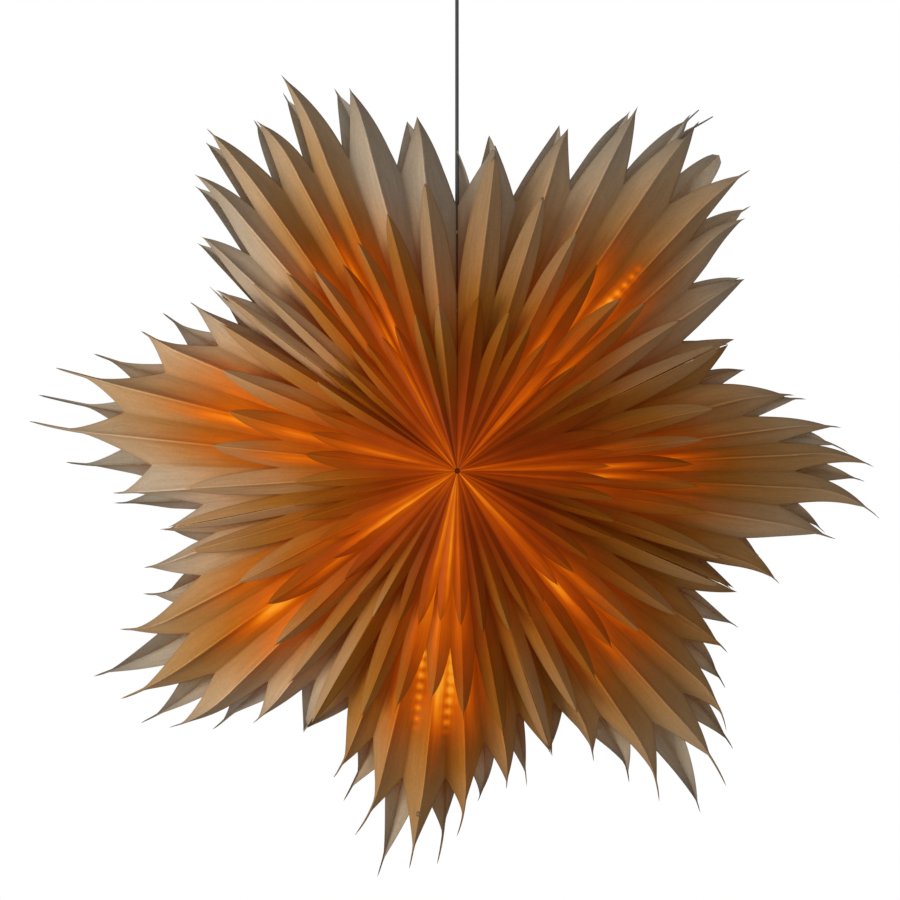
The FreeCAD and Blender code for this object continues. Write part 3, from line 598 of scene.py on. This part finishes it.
grey_with_painted_shade_and_light = [
    (0.0, (0.14, 0.03, 0.003)),
    (0.45, (0.30, 0.125, 0.022)),
    (0.60, (0.42, 0.26, 0.12)),
    (0.75, (0.56, 0.45, 0.32)),
    (1.0, (0.54, 0.49, 0.41)),
]
long_paper = leaf_paper("leaf_paper_long", tan_with_painted_shade, 1.0, 0.24)
papers = {
    4: leaf_paper("leaf_paper_over_two_rows", tan_with_painted_shade, 1.0, 0.24, (-0.014, 0.014), 0.162, 0.252),
    7: leaf_paper("leaf_paper_over_one_row", tan_with_painted_shade, 1.0, 0.24, (-0.007,), 0.182, 0.262),
}
inner_paper = leaf_paper("leaf_paper_inner", brown_with_painted_shade, 1.0, 0.2)
back_paper = leaf_paper("leaf_paper_back", grey_with_painted_shade_and_light, 0.8, 0.42)
leaf_rows = (
    ("long", -1, "front_long"),
    ("long", 1, "back_long"),
    ("middle", -1, "front_middle"),
    ("short", -1, "front_short"),
    ("middle", 1, "back_middle"),
    ("short", 1, "back_short"),
)
for arm in range(1, 8):
    for number, (row, side, word) in enumerate(leaf_rows):
        piece = leaf_row("arm_%d_%s_leaves" % (arm, word), arm, row, side, arm * 10 + number)
        if row == "long":
            finish = back_paper if side > 0 else papers.get(arm, long_paper)
            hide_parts("arm_%d_%s_leaves" % (arm, "front" if side < 0 else "back"))
        else:
            finish = inner_paper
        if row == "middle" and side < 0:
            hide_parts("arm_%d_inner_leaves" % arm)
        piece.data.materials.append(finish)
        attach(piece, "star")


# The cord. A smooth black round cord runs straight from the hub, between the two closing boards,
# up to the clamp in the ceiling cup, and the star's weight keeps it taut.

cord_points = [(0, 0, -0.542), (0, 0, -0.40), (0, 0, -0.20), (0, 0, -0.0644)]
cord_radius = 0.00175
cord_curve = bpy.data.curves.new("lamp_cord", "CURVE")
cord_curve.dimensions = "3D"
cord_line = cord_curve.splines.new("NURBS")
cord_line.points.add(len(cord_points) - 1)
for point, spot in zip(cord_line.points, cord_points):
    point.co = (*spot, 1)
cord_line.order_u = 3
cord_line.use_endpoint_u = True
cord_curve.bevel_depth = cord_radius
cord_curve.bevel_resolution = 6
cord_curve.resolution_u = 24
cord_curve.use_fill_caps = True
lamp_cord = bpy.data.objects.new("lamp_cord", cord_curve)
bpy.context.collection.objects.link(lamp_cord)


def plain(name, colour, rough, metal=0.0, grain=60.0, mottle=0.06, bumped=0.1, distance=0.0003):
    """A solid material with fine mottling in its colour and roughness, and a fine bump."""
    material = bpy.data.materials.new(name)
    material.use_nodes = True
    tree = material.node_tree
    coat = tree.nodes["Principled BSDF"]
    place = add(tree, "ShaderNodeTexCoord", -1100, 0)
    noise = noisy(tree, place.outputs["Object"], grain, 5, -900, 0)
    low = tuple(c * (1 - mottle * 2) for c in colour)
    high = tuple(min(1, c * (1 + mottle * 2)) for c in colour)
    shade = ramp(tree, [(0.3, low), (0.7, high)], noise.outputs[0], -600, 200)
    link(tree, shade, coat.inputs["Base Color"])
    gloss = add(tree, "ShaderNodeMapRange", -600, -100)
    gloss.inputs["To Min"].default_value = rough - 0.08
    gloss.inputs["To Max"].default_value = rough + 0.08
    link(tree, noise.outputs[0], gloss.inputs["Value"])
    link(tree, gloss.outputs[0], coat.inputs["Roughness"])
    coat.inputs["Metallic"].default_value = metal
    bump = add(tree, "ShaderNodeBump", -300, -300)
    bump.inputs["Strength"].default_value = bumped
    bump.inputs["Distance"].default_value = distance
    link(tree, noise.outputs[0], bump.inputs["Height"])
    link(tree, bump.outputs[0], coat.inputs["Normal"])
    return material


sheath = plain("black_sheath", (0.022, 0.021, 0.021), 0.42, grain=900, mottle=0.1)
cord_curve.materials.append(sheath)
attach(lamp_cord, "cord_drop")
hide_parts("cord")


# The frayed tip. The longest leaf of the upper right arm splits at its end into a thin fork of two
# stiff paper threads, twisted from the same sheet and darker than the rest of it.

fork_start = (0.2095, 0.3140)
fork_paths = [
    (fork_start, (0.2130, 0.3195), (0.2155, 0.3250), (0.2172, 0.3302), (0.2225, 0.3352), (0.2291, 0.3411)),
    (fork_start, (0.2150, 0.3195), (0.2235, 0.3240), (0.2330, 0.3292), (0.2422, 0.3346)),
]
fork_radius = 0.0016
thread_paper = plain("thread_paper", (0.13, 0.095, 0.07), 0.7, grain=700, mottle=0.15)
fork_curve = bpy.data.curves.new("fork", "CURVE")
fork_curve.dimensions = "3D"
fork_curve.bevel_depth = fork_radius
fork_curve.bevel_resolution = 3
fork_curve.use_fill_caps = True
for number, way in enumerate(fork_paths):
    thread = fork_curve.splines.new("NURBS")
    thread.points.add(len(way) - 1)
    for place, (across, up) in enumerate(way):
        spot = star_middle + Vector((across, -0.006 - 0.001 * number, up))
        thread.points[place].co = (*spot, 1)
        thread.points[place].radius = 1 - 0.65 * place / (len(way) - 1)
    thread.order_u = 3
    thread.use_endpoint_u = True
fork_shape = bpy.data.objects.new("fork", fork_curve)
bpy.context.collection.objects.link(fork_shape)
bpy.context.view_layer.update()
fork_ready = fork_shape.evaluated_get(bpy.context.evaluated_depsgraph_get())
fork_mesh = bpy.data.meshes.new_from_object(fork_ready)
bpy.data.objects.remove(fork_shape)
frayed_tip = bpy.data.objects.new("arm_7_frayed_tip", fork_mesh)
bpy.context.collection.objects.link(frayed_tip)
frayed_tip.data.materials.clear()
frayed_tip.data.materials.append(thread_paper)
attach(frayed_tip, "star")


# The eyelet. A small dark metal ring is pressed into the ridge of the lowest leaf near its tip.

eyelet_reach = 0.326
eyelet_angle = math.radians(first_arm + 3 * arm_pitch - 0.6)
ridge_slope = next(fold[1] for fold in fold_list(4, "long", -1) if abs(fold[0] + 0.2) < 0.01)
eyelet_spot = star_middle + Vector(
    (
        eyelet_reach * math.cos(eyelet_angle),
        ridge_slope * eyelet_reach - pole_depth - 0.0006,
        eyelet_reach * math.sin(eyelet_angle),
    )
)
eyelet_radius = 0.0024
made = bmesh.new()
bmesh.ops.create_cone(
    made,
    cap_ends=False,
    segments=28,
    radius1=eyelet_radius,
    radius2=eyelet_radius,
    depth=0.0018,
    matrix=Matrix.Translation(eyelet_spot) @ Matrix.Rotation(math.radians(90), 4, "X"),
)
bmesh.ops.recalc_face_normals(made, faces=made.faces[:])
bmesh.ops.solidify(made, geom=made.faces[:], thickness=0.001)
bmesh.ops.recalc_face_normals(made, faces=made.faces[:])
bmesh.ops.bevel(
    made,
    geom=[edge for edge in made.edges if edge.calc_face_angle(0) > 1],
    offset=0.00025,
    segments=2,
    profile=0.5,
    affect="EDGES",
    material=-1,
)
eyelet = placed("arm_4_eyelet", made)
eyelet.data.materials.append(plain("eyelet_metal", (0.12, 0.085, 0.05), 0.34, metal=1.0, grain=900))
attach(eyelet, "star")


# The boards between the arms. Each is a stiff 0.6 mm card that stands on edge under the fold where
# two arms are glued together. The two that close the star have four holes for the snaps.

arm_boards = [(first_arm + (number - 0.5) * arm_pitch, "arm_board_%d" % number) for number in range(1, 7)]
arm_board_near = (0.040, 0.07684)
arm_board_far = (0.270, 0.00493)
snap_holes = [(0.150, 0.022), (0.150, -0.022), (0.225, 0.010), (0.225, -0.010)]
snap_hole_radius = 0.0023
card_thickness = 0.0006
card_rounding = 0.0016
card = plain("card", (0.52, 0.36, 0.21), 0.78, grain=240, mottle=0.09, bumped=0.25)


def board(name, angle, near, far, holes=()):
    """A card on edge with rounded corners. Its ends are given as a reach and half a height."""
    turn = Matrix.Translation(star_middle) @ Matrix.Rotation(math.radians(-angle), 4, "Y")
    made = bmesh.new()
    corners = [near, far, (far[0], -far[1]), (near[0], -near[1])]
    rim = [made.verts.new((reach, half, 0)) for reach, half in corners]
    bmesh.ops.contextual_create(made, geom=rim)
    bmesh.ops.bevel(
        made,
        geom=made.verts[:],
        offset=card_rounding,
        segments=4,
        profile=0.5,
        affect="VERTICES",
        material=-1,
    )
    bmesh.ops.recalc_face_normals(made, faces=made.faces[:])
    bmesh.ops.solidify(made, geom=made.faces[:], thickness=card_thickness)
    middle = sum(corner.co.z for corner in made.verts) / len(made.verts)
    bmesh.ops.translate(made, verts=made.verts[:], vec=(0, 0, -middle))
    piece = placed(name, made)
    if holes:
        drill = bmesh.new()
        for reach, across in holes:
            bmesh.ops.create_cone(
                drill,
                cap_ends=True,
                segments=24,
                radius1=snap_hole_radius,
                radius2=snap_hole_radius,
                depth=0.004,
                matrix=Matrix.Translation((reach, across, 0)),
            )
        tool = placed(name + "_holes", drill)
        cutter = piece.modifiers.new("holes", "BOOLEAN")
        cutter.operation = "DIFFERENCE"
        cutter.object = tool
        bpy.context.view_layer.update()
        drilled = piece.evaluated_get(bpy.context.evaluated_depsgraph_get())
        finished = bpy.data.meshes.new_from_object(drilled)
        piece.modifiers.clear()
        piece.data = finished
        bpy.data.objects.remove(tool)
    piece.data.transform(turn)
    piece.data.materials.clear()
    piece.data.materials.append(card)
    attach(piece, "star")
    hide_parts(name.replace("_card", ""))


for angle, node in arm_boards:
    board(node + "_card", angle, arm_board_near, arm_board_far)
board("closing_board_left_card", 91.6, (0.096, 0.05854), (0.240, 0.01233), snap_holes)
board("closing_board_right_card", 88.4, (0.096, 0.05792), (0.240, 0.01078), snap_holes)


# The parts kept from the frame: light boards, snaps, hub, clamp, hook, plate and cup. Each gets the
# finish of its own material.

finishes = {
    "clear_plastic": plain("snap_plastic", (0.72, 0.68, 0.60), 0.3, grain=40),
    "circuit_board": plain("white_mask", (0.78, 0.77, 0.72), 0.38, grain=120, mottle=0.03),
    "hub_plastic": plain("hub_moulding", (0.26, 0.07, 0.015), 0.8, grain=1500, mottle=0.05),
    "zinc_steel": plain("zinc", (0.56, 0.56, 0.55), 0.32, metal=1.0, grain=300, mottle=0.08),
    "black_plastic": plain("black_moulding", (0.03, 0.03, 0.03), 0.45, grain=1500),
    "plate_steel": plain("plate_paint", (0.76, 0.76, 0.73), 0.4, grain=700, mottle=0.02),
    "cup_metal": plain("cup_paint", (0.035, 0.035, 0.036), 0.38, grain=900, mottle=0.06),
}
# The hub's dark reddish brown is painted warm light from inside, and it shines little.
hub_coat = finishes["hub_plastic"].node_tree.nodes["Principled BSDF"]
hub_coat.inputs["Specular IOR Level"].default_value = 0.1

# The light chips are yellow phosphor that is lit, with a fine grain in its colour.
chip_light = plain("chip_light", (0.90, 0.68, 0.26), 0.3, grain=1400, mottle=0.12)
chip_tree = chip_light.node_tree
chip_place = add(chip_tree, "ShaderNodeTexCoord", -1100, 500)
phosphor = noisy(chip_tree, chip_place.outputs["Object"], 700, 2, -900, 500)
phosphor_stops = [(0.3, (1.0, 0.42, 0.08)), (0.7, (1.0, 0.68, 0.28))]
chip_hue = ramp(chip_tree, phosphor_stops, phosphor.outputs[0], -600, 500)
chip_coat = chip_tree.nodes["Principled BSDF"]
link(chip_tree, chip_hue, chip_coat.inputs["Emission Color"])
chip_coat.inputs["Emission Strength"].default_value = 3.0
finishes["light_chip"] = chip_light

# The spindle's ends show at the poles and get a dark reddish brown, unlike the other steel, which is
# painted warm light from inside.
pole_steel_painted_warm = plain("pole_steel_painted_warm_light", (0.17, 0.065, 0.02), 0.55, metal=0.6, grain=600, mottle=0.08)
for entry in frame["record"]["subparts"]:
    finish = pole_steel_painted_warm if entry["node"] == "spindle" else finishes.get(entry["material_slot"])
    if finish:
        for place in frame["nodes"][entry["node"]].material_slots:
            place.material = finish
